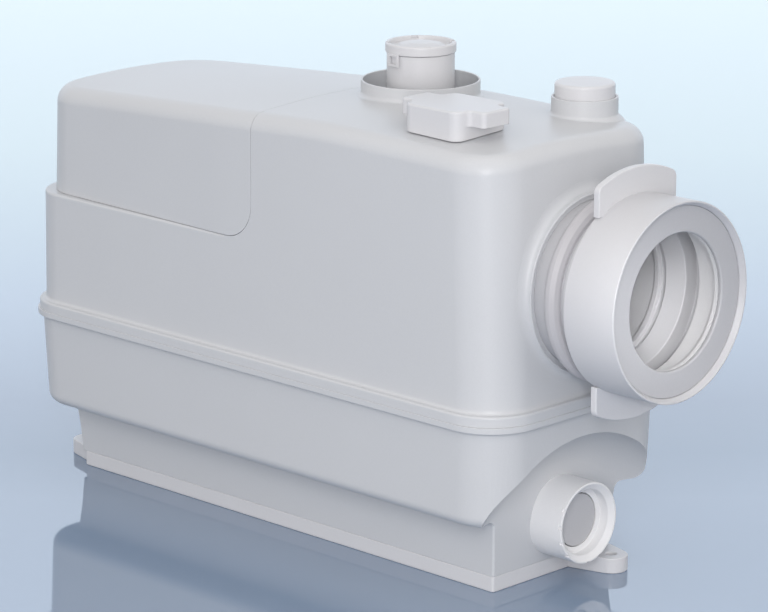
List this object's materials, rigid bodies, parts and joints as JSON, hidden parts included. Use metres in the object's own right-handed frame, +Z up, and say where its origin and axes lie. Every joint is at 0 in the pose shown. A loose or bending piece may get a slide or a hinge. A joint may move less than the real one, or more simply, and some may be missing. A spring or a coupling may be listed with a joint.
{
  "type": "macerator toilet pump",
  "caption": "Slim floor-standing macerator pump for a wall-hung toilet, with sliding pan sleeve, low side inlet, top inlet, vent cap and collared discharge.",
  "frame": {"origin": "centre of the base plate on the floor", "axes": "+X along the length towards the pan sleeve, -Y towards the front long wall, +Z up"},
  "size_m": [0.4882, 0.1644, 0.303],
  "materials": {
    "white_plastic": "moulded, semi-gloss",
    "seal_rubber": "satin",
    "black_rubber": "matt",
    "inner_plastic": "satin",
    "dark_plastic": "satin",
    "steel": "fine turned",
    "lamination": "stacked sheet",
    "copper": "enamelled wire",
    "cast_aluminium": "cast",
    "carbon": "matt granules",
    "board": "satin"
  },
  "bodies": {
    "body": {"base_plate": "white_plastic", "base_screws": "steel", "tank": "white_plastic", "body_gasket": "black_rubber", "hood": "white_plastic", "motor_cover": "white_plastic", "motor_tub": "inner_plastic", "tub_gasket": "black_rubber", "tub_screws": "steel", "socket_ring": "white_plastic", "socket_seal": "black_rubber", "low_insert": "white_plastic", "low_flap_pin": "steel", "discharge_tube": "white_plastic", "discharge_grommet": "black_rubber", "valve_body": "inner_plastic", "valve_pin": "steel", "discharge_hose": "black_rubber", "hose_clamps": "steel", "pump_casing": "inner_plastic", "casing_cover": "inner_plastic", "casing_screws": "steel", "shaft_seal": "black_rubber", "shear_plate": "steel", "stator": "lamination", "windings": "copper", "motor_base": "cast_aluminium", "motor_housing": "cast_aluminium", "motor_cap": "cast_aluminium", "lower_bearing": "steel", "upper_bearing": "steel", "capacitor": "dark_plastic", "control_board": "board", "air_bell": "inner_plastic", "pressure_can": "inner_plastic", "micro_switch": "dark_plastic", "cable_gland": "inner_plastic", "gland_nut": "inner_plastic"},
    "rotor": {"impeller": "dark_plastic", "motor_shaft": "steel", "rotor_core": "lamination", "cutter": "steel", "cutter_nut": "steel"},
    "wc_sleeve": {"sleeve": "white_plastic", "sleeve_bead": "seal_rubber", "lip_seal": "seal_rubber"},
    "inlet_flap": {"low_flap": "seal_rubber"},
    "outlet_flap": {"valve_flap": "black_rubber"},
    "vent": {"vent_cap": "white_plastic", "carbon_filter": "carbon"},
    "plug": {"top_plug": "white_plastic", "plug_ring": "black_rubber"},
    "blanking_cap": {"discharge_cap": "white_plastic"},
    "switch_pin": {"switch_plunger": "dark_plastic"}
  },
  "joints": [
    {"name": "rotor_spin", "type": "hinge", "parent": "body", "child": "rotor", "pos_m": [-0.095, 0, 0.1], "axis": [0, 0, -1], "continuous": true},
    {"name": "sleeve_slide", "type": "slide", "parent": "body", "child": "wc_sleeve", "axis": [1, 0, 0], "range_m": [0, 0.03]},
    {"name": "inlet_flap_swing", "type": "hinge", "parent": "body", "child": "inlet_flap", "pos_m": [0.1952, 0.003, 0.0546], "axis": [0, 1, 0], "range_deg": [0, 50]},
    {"name": "outlet_flap_swing", "type": "hinge", "parent": "body", "child": "outlet_flap", "pos_m": [0.0345, 0.024, 0.1023], "axis": [0, -1, 0], "range_deg": [0, 65]},
    {"name": "vent_lift", "type": "slide", "parent": "body", "child": "vent", "axis": [0, 0, 1], "range_m": [0, 0.03]},
    {"name": "plug_pull", "type": "slide", "parent": "body", "child": "plug", "axis": [0, 0, 1], "range_m": [0, 0.03]},
    {"name": "cap_pull", "type": "slide", "parent": "body", "child": "blanking_cap", "axis": [0, 0, 1], "range_m": [0, 0.025]},
    {"name": "switch_travel", "type": "slide", "parent": "body", "child": "switch_pin", "axis": [0, 0, 1], "range_m": [0, 0.0015]}
  ]
}
